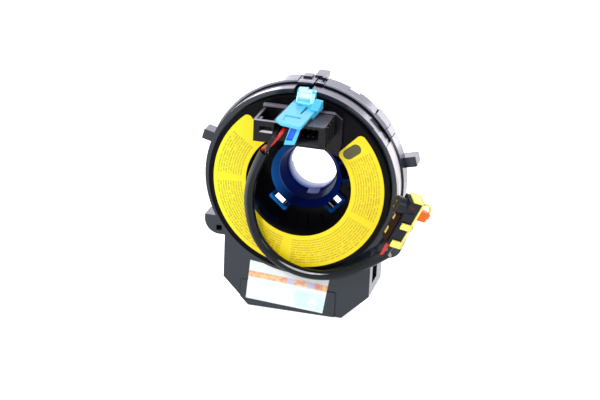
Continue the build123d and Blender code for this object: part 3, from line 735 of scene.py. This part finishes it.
# raised rear corner of the transit lock, a wedge along its right-hand edge
lock_origin = Vector((3.4, -34.6, 44.7))
lock_forward = Vector((-0.104, -0.989, -0.105))
lock_upward = Vector((0.062, -0.111, 0.992))
lock_across = lock_upward.cross(lock_forward).normalized()
wedge_outline = ((3.3, 0.0), (3.3, 3.3), (5.6, 3.2), (10.5, 0.9), (10.5, 0.0))
wedge_sides = (4.2, 8.3)
ear = made_of(
    "lock_ear",
    [
        lock_origin + lock_forward * reach + lock_upward * height + lock_across * side
        for side in wedge_sides for reach, height in wedge_outline
    ],
    [
        (0, 1, 2, 3, 4), (9, 8, 7, 6, 5), (0, 5, 6, 1), (1, 6, 7, 2),
        (2, 7, 8, 3), (3, 8, 9, 4), (4, 9, 5, 0),
    ],
    lock_cyan, "lock", bevel=0.25,
)

# connector block: rear rail and corner post, and a pale bar in its window: a painted highlight on
# the rib there
block_origin = Vector((0, 0, 0))
block_axes = (Vector((1, 0, 0)), Vector((0, -1, 0)), Vector((0, 0, 1)))
fittings = boxes(
    "block_fittings",
    [
        (-18.9, -6.0, 36.9, 39.4, block_top, 41.6),
        (-17.4, -15.2, 51.0, 56.2, 30.2, 39.2),
    ],
    block_origin, block_axes, block_black, "rotor", bevel=0.2,
)
# painted highlight: a pale piece standing for the light on the rib in the window
highlight_bar = boxes(
    "window_highlight_bar", [(-15.9, -9.0, 54.8, 57.3, 32.7, 33.6)],
    block_origin, block_axes, label_blank, "rotor", bevel=0.15,
)


def curved_sheet(name, profile, start, stop, steps, thickness, material, body):
    """Sheet swept about the rotation axis: at each clock angle the profile's (radius, depth) points
    are placed at x = r sin(clock), z = r cos(clock), y = -depth; a solidify gives it thickness."""
    clocks = np.radians(np.linspace(start, stop, steps))
    radii, depths = np.array(profile).T
    count = len(profile)
    grid = np.empty((steps, count, 3))
    grid[..., 0] = np.sin(clocks)[:, None] * radii
    grid[..., 1] = -depths
    grid[..., 2] = np.cos(clocks)[:, None] * radii
    faces = []
    for step in range(steps - 1):
        for corner in range(step * count, step * count + count - 1):
            faces.append((corner, corner + 1, corner + count + 1, corner + count))
    mesh = bpy.data.meshes.new(name)
    mesh.from_pydata((grid.reshape(-1, 3) * MM).tolist(), [], faces)
    mesh.materials.append(material)
    mesh.shade_smooth()
    piece = add_object(name, mesh)
    wall = piece.modifiers.new("thickness", "SOLIDIFY")
    wall.thickness = thickness * MM
    wall.offset = 0.0
    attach(piece, body)
    return piece


# side label: lies on the cover, crosses the groove and lies on the rear band
side_label = curved_sheet(
    "side_label_sheet",
    [(49.7, 33.3), (49.7, 26.2), (49.8, 24.2)],
    start=60.0, stop=114.0, steps=60, thickness=0.16, material=label_blank, body="stator",
)
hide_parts("side_label")

for piece, material, node_name in (
    (sheath, sheath_slate, "harness_sheath"),
    (red_lead, wire_red, "red_wire"),
    (black_lead, wire_black, "black_wire"),
):
    piece.data.materials.append(material)
    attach(piece, "rotor")
    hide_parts(node_name)


# ------------------------------------------------------------------ studio
def seen_directly(tree):
    """1 for what is seen, straight, in a gloss or through a clear part, and 0 for mere lighting."""
    path = tree.nodes.new("ShaderNodeLightPath").outputs
    by_surface = reckon(tree, "MAXIMUM", path["Is Glossy Ray"], path["Is Transmission Ray"])
    return reckon(tree, "MAXIMUM", path["Is Camera Ray"], by_surface)


white = (1.0, 1.0, 1.0, 1.0)
sky_light, sky_seen = 0.55, 1.0
floor_height, floor_reach = -0.0712, 3.0
floor_grey, floor_rough, floor_glow = (0.80, 0.80, 0.80, 1.0), 0.6, 0.75
floor_corners = ((-1, -1), (1, -1), (1, 1), (-1, 1))

world = bpy.data.worlds.new("studio")
bpy.context.scene.world = world
world.use_nodes = True
tree = world.node_tree
sky = tree.nodes["Background"]
sky.inputs[0].default_value = white
brightness = reckon(tree, "MULTIPLY_ADD", seen_directly(tree), sky_seen - sky_light, sky_light)
join(tree, brightness, sky.inputs[1])

floor_mesh = bpy.data.meshes.new("floor")
floor_mesh.from_pydata(
    [(x * floor_reach, y * floor_reach, floor_height) for x, y in floor_corners],
    [], [(0, 1, 2, 3)],
)
floor = add_object("floor", floor_mesh)
pale = bpy.data.materials.new("pale_floor")
pale.use_nodes = True
tree = pale.node_tree
surface = tree.nodes["Principled BSDF"]
surface.inputs["Base Color"].default_value = floor_grey
surface.inputs["Roughness"].default_value = floor_rough
surface.inputs["Emission Color"].default_value = white
join(tree, product(tree, seen_directly(tree), floor_glow), surface.inputs["Emission Strength"])
floor_mesh.materials.append(pale)

# square lamps aimed at the object: place in metres, size in metres, power in watts, colour
for name, place, size, power, colour in (
    ("back_left", (-0.66, 0.95, 0.0), 0.5, 3.4, (0.92, 0.90, 1.0)),
    ("left", (-1.0, -0.50, 0.10), 0.7, 2.0, (1.0, 1.0, 1.0)),
    ("back_top", (-0.10, 1.00, 0.42), 1.0, 6.3, (0.86, 0.81, 1.0)),
    ("back_right", (0.50, 0.95, 0.10), 0.5, 3.6, (0.92, 0.90, 1.0)),
    ("front_top", (-0.35, -1.0, 0.85), 0.28, 8.6, (1.0, 1.0, 1.0)),
    ("right", (1.0, -0.40, 0.35), 0.4, 3.0, (0.97, 0.94, 1.0)),
):
    light = bpy.data.lights.new(name, "AREA")
    light.size = size
    light.energy = power
    light.color = colour
    lamp = add_object(name, light)
    lamp.visible_camera = False
    lamp.location = place
    lamp.rotation_euler = (Vector(place) - aim).to_track_quat("Z", "Y").to_euler()

bpy.context.scene.view_settings.view_transform = "Standard"
